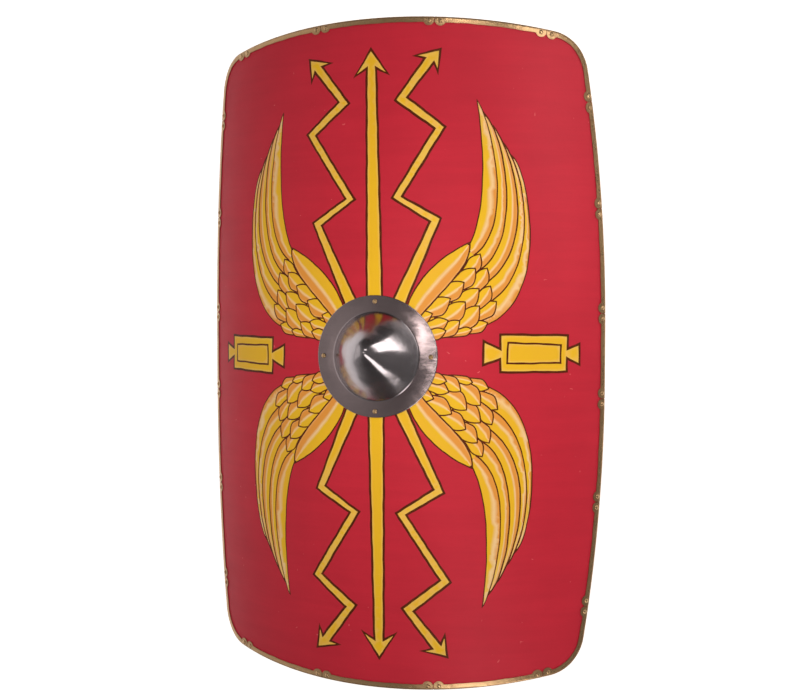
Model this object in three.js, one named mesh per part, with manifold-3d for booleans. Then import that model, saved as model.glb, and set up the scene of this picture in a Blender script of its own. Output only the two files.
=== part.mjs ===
// Curved legionary shield of painted plywood, with a steel boss, a wooden handgrip and brass edging.
// It lies face up on its two long edges. Millimetres, +Z up, +Y towards the shield's top end.
// Most shapes are laid out flat as (u, v, w): u round the curve, v along the shield, w out of the
// painted face. They are then bent round the shield's axis, which runs along Y.
import * as THREE from 'three';
import { mergeVertices } from 'three/addons/utils/BufferGeometryUtils.js';
import Module from 'manifold-3d';

const wasm = await Module();
wasm.setup();

// Overall form, measured over the brass edging
const length = 1070;
const widthRoundCurve = 762;
const faceRadius = 512;
const sideBow = 52;
const endBow = 39.7;
const cornerRadius = 70;
const restingFlat = 80;

// Board
const boardThickness = 8;
const handHoleRadius = 60;
const boardStripWidth = 20;

// Brass edging
const brassThickness = 1.2;
const lipWidth = 9;
const edgingEasing = 1.4;
const seatGap = 0.3;
const jointGap = 0.8;
const sideJoints = [69, 237, 406];
const endJoints = [273, 96];
const edgingTurn = THREE.MathUtils.degToRad(5);
const edgingBend = THREE.MathUtils.degToRad(3);
const fewestEdgingSteps = 4;
const lobeRadius = 7.5;
const lobeHalfLength = 8.5;
const lobeInset = 6.5;
const lobeArcSteps = 6;
const edgingRivetHead = { radius: 3.6, height: 1.8 };
const edgingRivetTail = { radius: 3, height: 1 };

// Boss
const flangeRadius = 98;
const flangeStretch = 3.5;
const domeRadius = 72;
const domeHeight = 66;
const steelThickness = 1.6;
const domeRounding = 16;
const crownLean = 8;
const bossSides = 28;

// Boss rivets
const rivetInsetUp = 10;
const rivetInsetAcross = 7;
const rivetReachUp = flangeRadius - rivetInsetUp;
const rivetReachAcross = flangeRadius - rivetInsetAcross;
const bossRivet = { headRadius: 3.8, headHeight: 1.9, shankRadius: 2, tailRadius: 4.6, tailHeight: 1.3 };
const holeClearance = 0.3;

// Handgrip
const gripEndPastRivet = 25;
const gripLength = 2 * (rivetReachAcross + gripEndPastRivet);
const gripWaist = 28;
const gripPadWidth = 42;
const gripDepth = 24;
const gripChamfer = 6;
const gripPadLength = 44;
const gripShoulder = 22;

const halfWidth = widthRoundCurve / 2;
const halfLength = length / 2;
const boardInset = brassThickness + seatGap;
const lipTop = seatGap + brassThickness;
const lipBottom = -boardThickness - lipTop;

const painted = new THREE.MeshStandardMaterial({ color: 0xb32a38, roughness: 0.5, metalness: 0 });
const steel = new THREE.MeshStandardMaterial({ color: 0x8d8a8e, roughness: 0.28, metalness: 1 });
const brass = new THREE.MeshStandardMaterial({ color: 0xb8904a, roughness: 0.35, metalness: 1 });
const wood = new THREE.MeshStandardMaterial({ color: 0x9a6b3f, roughness: 0.6, metalness: 0 });

// A quarter of the outline: a short straight, a side arc, a corner arc and an end arc, all tangent.
function quarterOutline() {
  const straight = restingFlat / 2;
  const sideReach = halfLength - straight;
  const sideArcRadius = (sideReach ** 2 + sideBow ** 2) / (2 * sideBow);
  const endArcRadius = (halfWidth ** 2 + endBow ** 2) / (2 * endBow);
  const sideCentre = new THREE.Vector2(halfWidth - sideArcRadius, straight);
  const endCentre = new THREE.Vector2(0, halfLength - endArcRadius);
  const between = endCentre.clone().sub(sideCentre);
  const apart = between.length();
  const toSide = sideArcRadius - cornerRadius;
  const toEnd = endArcRadius - cornerRadius;
  const along = (toSide ** 2 - toEnd ** 2 + apart ** 2) / (2 * apart);
  const across = Math.sqrt(toSide ** 2 - along ** 2);
  const unit = between.clone().divideScalar(apart);
  const normal = new THREE.Vector2(-unit.y, unit.x);
  const cornerCentre = sideCentre.clone().addScaledVector(unit, along).addScaledVector(normal, across);
  const sideEndAngle = cornerCentre.clone().sub(sideCentre).angle();
  const endStartAngle = cornerCentre.clone().sub(endCentre).angle();
  const arcs = [
    { centre: sideCentre, radius: sideArcRadius, from: 0, to: sideEndAngle },
    { centre: cornerCentre, radius: cornerRadius, from: sideEndAngle, to: endStartAngle },
    { centre: endCentre, radius: endArcRadius, from: endStartAngle, to: Math.PI / 2 },
  ];
  let start = straight;
  for (const arc of arcs) {
    arc.start = start;
    start += arc.radius * (arc.to - arc.from);
  }
  return { straight, arcs, length: start };
}

const quarter = quarterOutline();
const perimeter = 4 * quarter.length;

// Point of the first quarter at distance s along the outer edge, moved inwards by inset.
function quarterPoint(s, inset) {
  if (s <= quarter.straight) return new THREE.Vector2(halfWidth - inset, s);
  const arc = quarter.arcs.findLast((candidate) => s >= candidate.start);
  const angle = arc.from + (s - arc.start) / arc.radius;
  const reach = arc.radius - inset;
  return new THREE.Vector2(
    arc.centre.x + reach * Math.cos(angle),
    arc.centre.y + reach * Math.sin(angle),
  );
}

// The same for the whole edge, anticlockwise from the middle of the right-hand side.
function edgePoint(s, inset) {
  const round = ((s % perimeter) + perimeter) % perimeter;
  const index = Math.min(3, Math.floor(round / quarter.length));
  const along = round - index * quarter.length;
  const mirrored = index % 2 === 1;
  const point = quarterPoint(mirrored ? quarter.length - along : along, inset);
  const signU = index === 1 || index === 2 ? -1 : 1;
  const signV = index >= 2 ? -1 : 1;
  return new THREE.Vector2(signU * point.x, signV * point.y);
}

// Distance along the edge at which a side arc reaches height v, or an end arc reaches width u.
function edgeAtHeight(v) {
  const arc = quarter.arcs[0];
  return arc.start + arc.radius * (Math.asin((v - arc.centre.y) / arc.radius) - arc.from);
}

function edgeAtWidth(u) {
  const arc = quarter.arcs[2];
  return arc.start + arc.radius * (Math.acos((u - arc.centre.x) / arc.radius) - arc.from);
}

// Section of the edging as (inwards, w), anticlockwise, with its two outer corners eased.
function edgingSection() {
  return [
    [lipWidth, lipTop],
    [edgingEasing, lipTop],
    [0, lipTop - edgingEasing],
    [0, lipBottom + edgingEasing],
    [edgingEasing, lipBottom],
    [lipWidth, lipBottom],
    [lipWidth, lipBottom + brassThickness],
    [brassThickness, lipBottom + brassThickness],
    [brassThickness, seatGap],
    [lipWidth, seatGap],
  ];
}

function heightOffAxis(u, w) {
  return (faceRadius + w) * Math.cos(u / faceRadius);
}

// The axis height that puts the lowest corner of the edging on the ground.
const lowestCorner = edgingSection().map(([inwards, w]) => heightOffAxis(halfWidth - inwards, w));
const axisHeight = -Math.min(...lowestCorner);

function bend(geometry) {
  const position = geometry.attributes.position;
  for (let i = 0; i < position.count; i += 1) {
    const angle = position.getX(i) / faceRadius;
    const radius = faceRadius + position.getZ(i);
    position.setX(i, radius * Math.sin(angle));
    position.setZ(i, radius * Math.cos(angle) + axisHeight);
  }
  return geometry;
}

function toSolid(geometry) {
  const bare = geometry.clone();
  bare.deleteAttribute('normal');
  bare.deleteAttribute('uv');
  const merged = mergeVertices(bare, 1e-4);
  const mesh = new wasm.Mesh({
    numProp: 3,
    vertProperties: new Float32Array(merged.attributes.position.array),
    triVerts: new Uint32Array(merged.index.array),
  });
  return new wasm.Manifold(mesh);
}

function toGeometry(solid) {
  const mesh = solid.getMesh();
  const geometry = new THREE.BufferGeometry();
  geometry.setAttribute('position', new THREE.BufferAttribute(new Float32Array(mesh.vertProperties), 3));
  geometry.setIndex(new THREE.BufferAttribute(new Uint32Array(mesh.triVerts), 1));
  geometry.computeVertexNormals();
  return geometry;
}

function addMesh(parent, name, geometry, material) {
  const mesh = new THREE.Mesh(geometry, material);
  mesh.name = name;
  parent.add(mesh);
}

// A turned shape whose profile runs (radius, w) and whose axis is w.
function turned(profile, sides) {
  const points = profile.map(([radius, w]) => new THREE.Vector2(radius, w));
  return new THREE.LatheGeometry(points, sides).rotateX(Math.PI / 2);
}

// A rivet's profile from its tail below w = low to its domed head above w = high.
function rivetProfile(rivet, low, high) {
  return [
    [0, low - rivet.tailHeight],
    [rivet.tailRadius * 0.7, low - rivet.tailHeight],
    [rivet.tailRadius, low],
    [rivet.shankRadius, low],
    [rivet.shankRadius, high],
    [rivet.headRadius, high],
    [rivet.headRadius * 0.75, high + rivet.headHeight * 0.7],
    [0, high + rivet.headHeight],
  ];
}

// A straight pin used to drill the holes that rivets pass through.
function drill(radius, low, high, sides) {
  return turned([[0, low], [radius, low], [radius, high], [0, high]], sides);
}

// Edging: every joint's distance along the whole edge, anticlockwise from the right-hand side.
function jointPositions() {
  const joints = [...sideJoints.map(edgeAtHeight), ...endJoints.map(edgeAtWidth)];
  const mirrored = joints.map((s) => 2 * quarter.length - s).reverse();
  const top = [...joints, ...mirrored];
  const bottom = top.map((s) => s + 2 * quarter.length);
  return [...top, ...bottom];
}

const sectionNames = [
  'rim_right_4', 'rim_right_5', 'rim_corner_top_right', 'rim_top_right', 'rim_top_middle',
  'rim_top_left', 'rim_corner_top_left', 'rim_left_5', 'rim_left_4', 'rim_left_3',
  'rim_left_2', 'rim_left_1', 'rim_corner_bottom_left', 'rim_bottom_left', 'rim_bottom_middle',
  'rim_bottom_right', 'rim_corner_bottom_right', 'rim_right_1', 'rim_right_2', 'rim_right_3',
];

// Direction in which the edge runs at distance s.
function edgeHeading(s) {
  const ahead = edgePoint(s + 0.5, 0);
  const behind = edgePoint(s - 0.5, 0);
  return Math.atan2(ahead.y - behind.y, ahead.x - behind.x);
}

class EdgePath extends THREE.Curve {
  constructor(start, end) {
    super();
    this.start = start;
    this.end = end;
  }

  getPoint(t) {
    const point = edgePoint(this.start + t * (this.end - this.start), 0);
    return new THREE.Vector3(point.x, point.y, 0);
  }
}

// The channel swept along the edge. A swept shape's x runs towards -w and its y runs inwards.
function channel(start, end) {
  const shape = new THREE.Shape(edgingSection().map(([inwards, w]) => new THREE.Vector2(-w, inwards)));
  const turn = Math.abs(THREE.MathUtils.euclideanModulo(edgeHeading(end) - edgeHeading(start), 2 * Math.PI));
  const lean = Math.abs(edgePoint(end, 0).x - edgePoint(start, 0).x) / faceRadius;
  const steps = Math.ceil(Math.max(turn / edgingTurn, lean / edgingBend, fewestEdgingSteps));
  return new THREE.ExtrudeGeometry(shape, { steps, extrudePath: new EdgePath(start, end) });
}

// A round-ended tab whose x runs along the edge and whose y runs inwards from the rivet's centre.
function lobe(w) {
  const root = lipWidth / 2 - lobeInset;
  const shape = new THREE.Shape();
  shape.moveTo(lobeRadius, root);
  shape.absarc(0, 0, lobeRadius, 0, Math.PI, false);
  shape.lineTo(-lobeRadius, root);
  const options = { depth: brassThickness, bevelEnabled: false, curveSegments: lobeArcSteps / 2 };
  const tab = new THREE.ExtrudeGeometry(shape, options);
  return tab.scale(lobeHalfLength / lobeRadius, 1, 1).translate(0, 0, w);
}

function rivetHead() {
  const { radius, height } = edgingRivetHead;
  const seat = lipTop - brassThickness / 2;
  const shoulder = [radius * 0.75, lipTop + height * 0.7];
  return turned([[0, seat], [radius, seat], shoulder, [0, lipTop + height]], 7);
}

function rivetTail() {
  const { radius, height } = edgingRivetTail;
  const seat = lipBottom + brassThickness / 2;
  return turned([[0, lipBottom - height], [radius, seat], [0, seat]], 6);
}

function edgingLength(start, end) {
  let solid = toSolid(channel(start, end));
  for (const s of [start + lobeHalfLength, end - lobeHalfLength]) {
    const place = edgePoint(s, lobeInset);
    const pieces = [
      lobe(lipTop - brassThickness),
      lobe(lipBottom),
      rivetHead(),
      rivetTail(),
    ];
    for (const piece of pieces) {
      piece.rotateZ(edgeHeading(s)).translate(place.x, place.y, 0);
      solid = solid.add(toSolid(piece));
    }
  }
  return bend(toGeometry(solid));
}

const bossRivetPlaces = {
  boss_rivet_top: new THREE.Vector2(0, rivetReachUp),
  boss_rivet_bottom: new THREE.Vector2(0, -rivetReachUp),
  boss_rivet_left: new THREE.Vector2(-rivetReachAcross, 0),
  boss_rivet_right: new THREE.Vector2(rivetReachAcross, 0),
};

// Board: strips along v between stations round the curve, so that it can be bent.
function boardStations() {
  const stations = [];
  const samples = [];
  const cornerSteps = 9;
  const sideSteps = 7;
  const [side, corner, end] = quarter.arcs;
  for (let i = 0; i <= sideSteps; i += 1) {
    samples.push(side.start + (i / sideSteps) * (corner.start - side.start));
  }
  for (let i = 1; i <= cornerSteps; i += 1) {
    samples.push(corner.start + (i / cornerSteps) * (end.start - corner.start));
  }
  const endSteps = Math.ceil((quarter.length - end.start) / boardStripWidth);
  for (let i = 1; i <= endSteps; i += 1) {
    samples.push(end.start + (i / endSteps) * (quarter.length - end.start));
  }
  for (const s of samples) stations.push(quarterPoint(s, boardInset));
  const mirrored = stations.slice(0, -1).reverse().map((p) => new THREE.Vector2(-p.x, p.y));
  return [...stations, ...mirrored].reverse();
}

function boardBlank() {
  const stations = boardStations();
  const positions = [];
  for (const { x, y } of stations) {
    positions.push(x, y, 0, x, -y, 0, x, y, -boardThickness, x, -y, -boardThickness);
  }
  const index = [];
  const quad = (a, b, c, d) => index.push(a, b, c, a, c, d);
  for (let i = 0; i + 1 < stations.length; i += 1) {
    const a = 4 * i;
    const b = a + 4;
    quad(a, a + 1, b + 1, b);
    quad(a + 2, b + 2, b + 3, a + 3);
    quad(a, b, b + 2, a + 2);
    quad(a + 1, a + 3, b + 3, b + 1);
  }
  const last = 4 * (stations.length - 1);
  quad(0, 2, 3, 1);
  quad(last, last + 1, last + 3, last + 2);
  const geometry = new THREE.BufferGeometry();
  geometry.setAttribute('position', new THREE.Float32BufferAttribute(positions, 3));
  geometry.setIndex(index);
  return geometry;
}

function boardGeometry() {
  const low = -2 * boardThickness;
  const high = boardThickness;
  const blank = toSolid(bend(boardBlank()));
  const solid = blank.subtract(toSolid(bend(drill(handHoleRadius, low, high, 40))));
  return toGeometry(drillForBossRivets(solid, low, high));
}

function drillForBossRivets(blank, low, high) {
  let solid = blank;
  for (const place of Object.values(bossRivetPlaces)) {
    const pin = drill(bossRivet.shankRadius + holeClearance, low, high, 10);
    solid = solid.subtract(toSolid(bend(pin.translate(place.x, place.y, 0))));
  }
  return solid;
}

// Boss: a raised cone, hollow behind. Its slope grows from the crown outwards as 1 - exp(-r / rounding),
// so the height left to climb at radius r is the sum of that slope from r to the foot.
function domeCurve(foot, rise, base, steps) {
  const climbed = (r) => r + domeRounding * Math.exp(-r / domeRounding);
  const points = [];
  for (let i = 0; i <= steps; i += 1) {
    const r = foot * (i / steps) ** 1.4;
    const share = (climbed(foot) - climbed(r)) / (climbed(foot) - climbed(0));
    points.push([r, base + rise * share]);
  }
  return points;
}

function bossProfile() {
  const low = seatGap;
  const top = seatGap + steelThickness;
  const rise = domeHeight - steelThickness;
  const outer = domeCurve(domeRadius, rise, top, 10);
  const inner = domeCurve(domeRadius - steelThickness, rise, low, 7);
  const middle = (domeRadius + flangeRadius) / 2;
  return [
    ...outer,
    [middle, top],
    [flangeRadius, top],
    [flangeRadius, low],
    [middle, low],
    ...inner.reverse(),
  ].reverse();
}

// How far the painted face has dropped below its crown at distance x from the middle.
function faceDrop(x) {
  return faceRadius - Math.sqrt(faceRadius ** 2 - x ** 2);
}

// The flange is a little wider across than along, and follows the board. The dome leans towards the
// shield's top by crownLean at its crown, as hand-raised ones do.
function dropFlange(geometry) {
  const position = geometry.attributes.position;
  for (let i = 0; i < position.count; i += 1) {
    const reach = Math.hypot(position.getX(i), position.getY(i));
    const onFlange = THREE.MathUtils.clamp((reach - domeRadius) / (flangeRadius - domeRadius), 0, 1);
    const x = position.getX(i) * (1 + (onFlange * flangeStretch) / flangeRadius);
    const fade = Math.min(1, reach / (domeRadius - steelThickness)) ** 2;
    const climbed = reach < domeRadius ? Math.max(0, position.getZ(i) - seatGap) / domeHeight : 0;
    position.setX(i, x);
    position.setY(i, position.getY(i) + crownLean * climbed);
    position.setZ(i, position.getZ(i) - fade * faceDrop(x) + faceRadius + axisHeight);
  }
  return geometry;
}

function bossGeometry() {
  const blank = toSolid(dropFlange(turned(bossProfile(), bossSides)));
  return toGeometry(drillForBossRivets(blank, -boardThickness / 2, 2 * boardThickness));
}

// Handgrip: a bar lofted along x, waisted for the hand, with two pads that seat on the board's back.
function gripSection(x) {
  const away = Math.abs(x);
  const padStart = gripLength / 2 - gripPadLength;
  const blend = THREE.MathUtils.smoothstep(away, padStart - gripShoulder, padStart);
  const half = THREE.MathUtils.lerp(gripWaist, gripPadWidth, blend) / 2;
  const seatRadius = faceRadius - boardThickness - seatGap;
  const seated = Math.sqrt(seatRadius ** 2 - Math.max(away, padStart) ** 2) + axisHeight;
  const low = Math.sqrt(seatRadius ** 2 - padStart ** 2) + axisHeight - gripDepth;
  const chamfer = THREE.MathUtils.lerp(gripChamfer, gripChamfer / 3, blend);
  return [
    [half - chamfer, low], [half, low + chamfer], [half, seated - chamfer], [half - chamfer, seated],
    [chamfer - half, seated], [-half, seated - chamfer], [-half, low + chamfer], [chamfer - half, low],
  ].map(([y, z]) => [x, y, z]);
}

function gripStations() {
  const padStart = gripLength / 2 - gripPadLength;
  const stations = [0, padStart - gripShoulder];
  for (let i = 1; i <= 4; i += 1) stations.push(padStart - gripShoulder + (i / 4) * gripShoulder);
  for (let i = 1; i <= 4; i += 1) stations.push(padStart + (i / 4) * gripPadLength);
  return [...stations.slice(1).reverse().map((x) => -x), ...stations];
}

function gripGeometry() {
  const stations = gripStations();
  const rings = stations.map(gripSection);
  const count = rings[0].length;
  const index = [];
  for (let i = 0; i + 1 < rings.length; i += 1) {
    for (let j = 0; j < count; j += 1) {
      const a = i * count + j;
      const b = i * count + ((j + 1) % count);
      index.push(a, b, b + count, a, b + count, a + count);
    }
  }
  for (let j = 1; j + 1 < count; j += 1) {
    const last = (rings.length - 1) * count;
    index.push(0, j + 1, j, last, last + j, last + j + 1);
  }
  const geometry = new THREE.BufferGeometry();
  geometry.setAttribute('position', new THREE.Float32BufferAttribute(rings.flat(2), 3));
  geometry.setIndex(index);
  return toGeometry(drillForBossRivets(toSolid(geometry), -2 * gripDepth, 0));
}

// Boss rivets: the outer pair in the grip's line are long enough to clench behind it.
function gripBackBelowFace() {
  const [, , low] = gripSection(0)[0];
  const angle = rivetReachAcross / faceRadius;
  return (low - axisHeight) / Math.cos(angle) - faceRadius;
}

function bossRivetGeometry(place) {
  const behindBoard = -boardThickness - seatGap;
  const tangentDrop = bossRivet.tailRadius * Math.tan(rivetReachAcross / faceRadius);
  const behindGrip = gripBackBelowFace() - tangentDrop - seatGap;
  const low = place.x === 0 ? behindBoard : behindGrip;
  const high = seatGap + steelThickness + seatGap;
  return turned(rivetProfile(bossRivet, low, high), 10);
}

function addBossRivets(parent) {
  for (const [name, place] of Object.entries(bossRivetPlaces)) {
    const swing = new THREE.Group();
    swing.position.set(0, place.y, axisHeight);
    swing.rotation.y = place.x / faceRadius;
    const mesh = new THREE.Mesh(bossRivetGeometry(place), brass);
    mesh.name = name;
    mesh.position.z = faceRadius;
    swing.add(mesh);
    parent.add(swing);
  }
}

function addEdging(parent) {
  const joints = jointPositions();
  sectionNames.forEach((name, i) => {
    const next = i + 1 < joints.length ? joints[i + 1] : joints[0] + perimeter;
    addMesh(parent, name, edgingLength(joints[i] + jointGap / 2, next - jointGap / 2), brass);
  });
}

const group = new THREE.Group();
addMesh(group, 'board', boardGeometry(), painted);
addMesh(group, 'boss', bossGeometry(), steel);
addBossRivets(group);
addMesh(group, 'grip', gripGeometry(), wood);
addEdging(group);

export default group;
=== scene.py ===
"""Looks of a curved legionary shield of painted plywood, with a steel boss and riveted brass edging.

The shield lies face up. Shapes are laid out flat in millimetres as (u, v, w): u round the curve, v
along the shield and w out of the painted face, and are then bent round the shield's long axis.
"""

import bmesh
import bpy
import numpy as np
from mathutils import Matrix, Vector
from mathutils.geometry import delaunay_2d_cdt


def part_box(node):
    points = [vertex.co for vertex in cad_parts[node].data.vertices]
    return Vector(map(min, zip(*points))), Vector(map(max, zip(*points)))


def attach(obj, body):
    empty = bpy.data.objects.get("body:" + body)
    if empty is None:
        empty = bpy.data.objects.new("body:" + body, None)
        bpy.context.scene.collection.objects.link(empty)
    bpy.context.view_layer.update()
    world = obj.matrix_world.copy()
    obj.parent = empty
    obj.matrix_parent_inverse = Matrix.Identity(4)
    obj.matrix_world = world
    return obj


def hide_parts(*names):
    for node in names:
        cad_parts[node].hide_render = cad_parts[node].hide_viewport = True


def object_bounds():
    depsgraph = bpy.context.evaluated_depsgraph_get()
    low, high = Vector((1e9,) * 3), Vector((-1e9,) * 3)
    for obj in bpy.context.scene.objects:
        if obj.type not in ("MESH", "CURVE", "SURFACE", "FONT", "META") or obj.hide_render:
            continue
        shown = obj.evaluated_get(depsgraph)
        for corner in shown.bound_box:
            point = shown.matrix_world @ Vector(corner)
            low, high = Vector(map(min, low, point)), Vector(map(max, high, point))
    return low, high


bl_info = {
    "name": "Legionary Shield",
    "version": (1, 0, 0),
    "blender": (4, 5, 0),
    "location": "View3D > Sidebar > Shield",
    "description": "Builds a painted legionary shield piece by piece around its solid model",
    "category": "Object",
}

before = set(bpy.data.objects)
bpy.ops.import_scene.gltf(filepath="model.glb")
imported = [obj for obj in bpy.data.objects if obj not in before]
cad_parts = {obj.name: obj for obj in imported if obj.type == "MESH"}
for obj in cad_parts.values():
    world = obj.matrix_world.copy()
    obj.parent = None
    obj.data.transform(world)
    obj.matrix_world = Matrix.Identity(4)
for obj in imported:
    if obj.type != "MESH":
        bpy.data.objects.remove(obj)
CAD_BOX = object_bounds()
MM = 0.001


def solid_box(node):
    """Low and high corner of a node's solid, in millimetres."""
    return [np.array(corner) * 1000 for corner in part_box(node)]


CROWN = float(solid_box("board")[1][2])
LENGTH = float(CAD_BOX[1][1] - CAD_BOX[0][1]) * 1000


def srgb(red, green, blue):
    """Linear colour of an 8-bit display colour."""
    value = np.array([red, green, blue]) / 255
    linear = np.where(value <= 0.04045, value / 12.92, ((value + 0.055) / 1.055) ** 2.4)
    return tuple(float(channel) for channel in linear)


def size_property(name, description, default):
    return bpy.props.FloatProperty(name=name, description=description, default=default, min=0, unit="LENGTH")


def colour_property(name, description, default):
    return bpy.props.FloatVectorProperty(
        name=name, description=description, default=default, size=3, min=0, max=1, subtype="COLOR"
    )


class ShieldSizes(bpy.types.PropertyGroup):
    face_radius: size_property("Face radius", "Radius of the painted face's curve", 0.512)
    round_curve: size_property("Width round the curve", "Width over the edging, along the face", 0.762)
    side_bow: size_property("Side bow", "How far the long sides bow out", 0.052)
    end_bow: size_property("End bow", "How far the two ends bow out", 0.0397)
    corner_radius: size_property("Corner radius", "Radius of the four corners", 0.07)
    resting_flat: size_property("Resting flat", "Straight stretch in the middle of each side", 0.08)
    thickness: size_property("Board thickness", "Thickness of the plywood", 0.008)
    hand_hole: size_property("Hand hole radius", "Radius of the hole behind the boss", 0.06)
    brass: size_property("Edging thickness", "Thickness of the folded brass", 0.0012)
    lip: size_property("Lip width", "Width of the edging on the painted face", 0.009)
    gap: size_property("Seat gap", "Gap between touching pieces", 0.0003)


class BossSizes(bpy.types.PropertyGroup):
    flange: size_property("Flange radius", "Outer radius of the boss", 0.098)
    stretch: size_property("Flange stretch", "How much wider the flange is across than along", 0.0035)
    dome: size_property("Dome radius", "Radius where the dome meets the flange", 0.072)
    rise: size_property("Dome height", "Height of the dome over the board", 0.066)
    rounding: size_property("Crown rounding", "Distance over which the crown turns into the cone", 0.016)
    lean: size_property("Crown lean", "How far the crown leans towards the shield's top", 0.008)
    steel: size_property("Steel thickness", "Thickness of the raised steel", 0.0016)
    rivets_up: size_property("Rivets along", "From the middle to the top and bottom rivets", 0.088)
    rivets_across: size_property("Rivets across", "From the middle to the left and right rivets", 0.091)


class PaintColours(bpy.types.PropertyGroup):
    ground: colour_property("Ground", "Red ground of the face", srgb(204, 42, 58))
    outline: colour_property("Outline", "Dark brown brush outline", srgb(84, 32, 8))
    gold: colour_property("Gold", "Yellow of the feathers, bolts and arrows", srgb(240, 186, 34))
    orange: colour_property("Orange", "Shaded side of the feathers", srgb(232, 150, 62))
    pale: colour_property("Pale", "Light streak in the feathers", srgb(246, 204, 146))
    back: colour_property("Back", "Bare plywood behind the board", srgb(176, 134, 88))


class MetalColours(bpy.types.PropertyGroup):
    steel: colour_property("Steel", "Polished steel of the boss", srgb(178, 168, 170))
    brass: colour_property("Brass", "Clean brass of the edging and rivets", srgb(204, 166, 122))
    tarnish: colour_property("Tarnish", "Brown tarnish in the brass's hollows", srgb(104, 70, 40))
    wood: colour_property("Grip wood", "Oiled wood of the handgrip", srgb(150, 100, 58))


def sizes():
    return bpy.context.scene.shield_sizes


def boss_sizes():
    return bpy.context.scene.boss_sizes


def paint():
    return bpy.context.scene.paint_colours


def metal():
    return bpy.context.scene.metal_colours


class Outline:
    """Barrel-sided outline in millimetres: per quarter a short straight and three tangent arcs."""

    def __init__(self):
        size = sizes()
        self.half_width = size.round_curve * 500
        self.straight = size.resting_flat * 500
        half_length = LENGTH / 2
        reach = half_length - self.straight
        lengths = (size.side_bow, size.end_bow, size.corner_radius)
        side_bow, end_bow, corner = (value * 1000 for value in lengths)
        side_radius = (reach**2 + side_bow**2) / (2 * side_bow)
        end_radius = (self.half_width**2 + end_bow**2) / (2 * end_bow)
        side = np.array([self.half_width - side_radius, self.straight])
        end = np.array([0, half_length - end_radius])
        apart = np.linalg.norm(end - side)
        unit = (end - side) / apart
        along = ((side_radius - corner) ** 2 - (end_radius - corner) ** 2 + apart**2) / (2 * apart)
        across = np.sqrt((side_radius - corner) ** 2 - along**2)
        middle = side + unit * along + np.array([-unit[1], unit[0]]) * across
        first = np.arctan2(*(middle - side)[::-1])
        second = np.arctan2(*(middle - end)[::-1])
        self.centres = np.array([side, middle, end])
        self.radii = np.array([side_radius, corner, end_radius])
        self.starts = np.array([0, first, second])
        arcs = self.radii * np.array([first, second - first, np.pi / 2 - second])
        self.joins = self.straight + np.concatenate([[0], np.cumsum(arcs)])
        self.quarter = self.joins[-1]

    def place(self, s, inset):
        """Points at distances s round the edge, moved inwards by inset, as arrays of (u, v)."""
        s = np.mod(s, 4 * self.quarter)
        index = np.minimum(s // self.quarter, 3).astype(int)
        along = s - index * self.quarter
        along = np.where(index % 2 == 1, self.quarter - along, along)
        arc = np.clip(np.searchsorted(self.joins, along, side="right") - 1, 0, 2)
        angle = self.starts[arc] + (along - self.joins[arc]) / self.radii[arc]
        reach = self.radii[arc] - inset
        straight = along <= self.straight
        u = np.where(straight, self.half_width - inset, self.centres[arc, 0] + reach * np.cos(angle))
        v = np.where(straight, along, self.centres[arc, 1] + reach * np.sin(angle))
        return np.stack([np.where((index == 1) | (index == 2), -u, u), np.where(index >= 2, -v, v)], -1)

    def at_height(self, v):
        return self.joins[0] + self.radii[0] * np.arcsin((v - self.centres[0, 1]) / self.radii[0])

    def at_width(self, u):
        angle = np.arccos((u - self.centres[2, 0]) / self.radii[2])
        return self.joins[2] + self.radii[2] * (angle - self.starts[2])

    def joints(self):
        """Distances of the edging's twenty joints, from the first above the right-hand middle."""
        quarter = [self.at_height(v) for v in EDGING_SIDE_JOINTS]
        quarter += [self.at_width(u) for u in EDGING_END_JOINTS]
        half = quarter + [2 * self.quarter - s for s in reversed(quarter)]
        return np.array(half + [s + 2 * self.quarter for s in half])


def bend(flat):
    """Bends flat (u, v, w) in millimetres round the long axis: x = (R + w) sin(u / R)."""
    radius = sizes().face_radius * 1000
    u, v, w = np.moveaxis(np.asarray(flat, float), -1, 0)
    angle = u / radius
    z = (radius + w) * np.cos(angle) + CROWN - radius
    return np.stack([(radius + w) * np.sin(angle), v, z], -1)


def grid_faces(rows, columns, wrap, start):
    """Quads of a grid of points, closed along its columns where wrap is true."""
    across = columns if wrap else columns - 1
    i, j = np.meshgrid(np.arange(rows - 1), np.arange(across), indexing="ij")
    k = (j + 1) % columns
    quads = np.stack([i * columns + j, i * columns + k, (i + 1) * columns + k, (i + 1) * columns + j], -1)
    return (quads.reshape(-1, 4) + start).tolist()


class Shells:
    """Collects closed shells into one mesh, with a float per point for its wear, and on the brass also for
    painted shade.
    """

    def __init__(self):
        self.points = []
        self.faces = []
        self.wear_and_shade = []
        self.count = 0

    def grid(self, points, wrap=False, wear_and_shade=0.0):
        rows, columns = points.shape[:2]
        self.faces += grid_faces(rows, columns, wrap, self.count)
        self.points.append(points.reshape(-1, 3))
        self.wear_and_shade.append(np.broadcast_to(wear_and_shade, (rows, columns)).reshape(-1))
        self.count += rows * columns

    def build(self, name, material, angle):
        mesh = bpy.data.meshes.new(name)
        mesh.from_pydata((np.concatenate(self.points) * MM).tolist(), [], self.faces)
        # This float is wear on the grip and steel, and on the brass it also paints shade into the colour.
        attribute = mesh.attributes.new("wear_and_shade", "FLOAT", "POINT")
        attribute.data.foreach_set("value", np.concatenate(self.wear_and_shade).astype(np.float32))
        close_shells(mesh)
        mesh.materials.append(material)
        smooth(mesh, angle)
        return link(name, mesh)


def close_shells(mesh):
    """Welds the shells' seams and poles and turns their faces outwards."""
    work = bmesh.new()
    work.from_mesh(mesh)
    bmesh.ops.remove_doubles(work, verts=work.verts, dist=1e-6)
    bmesh.ops.recalc_face_normals(work, faces=work.faces)
    work.to_mesh(mesh)
    work.free()


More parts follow.
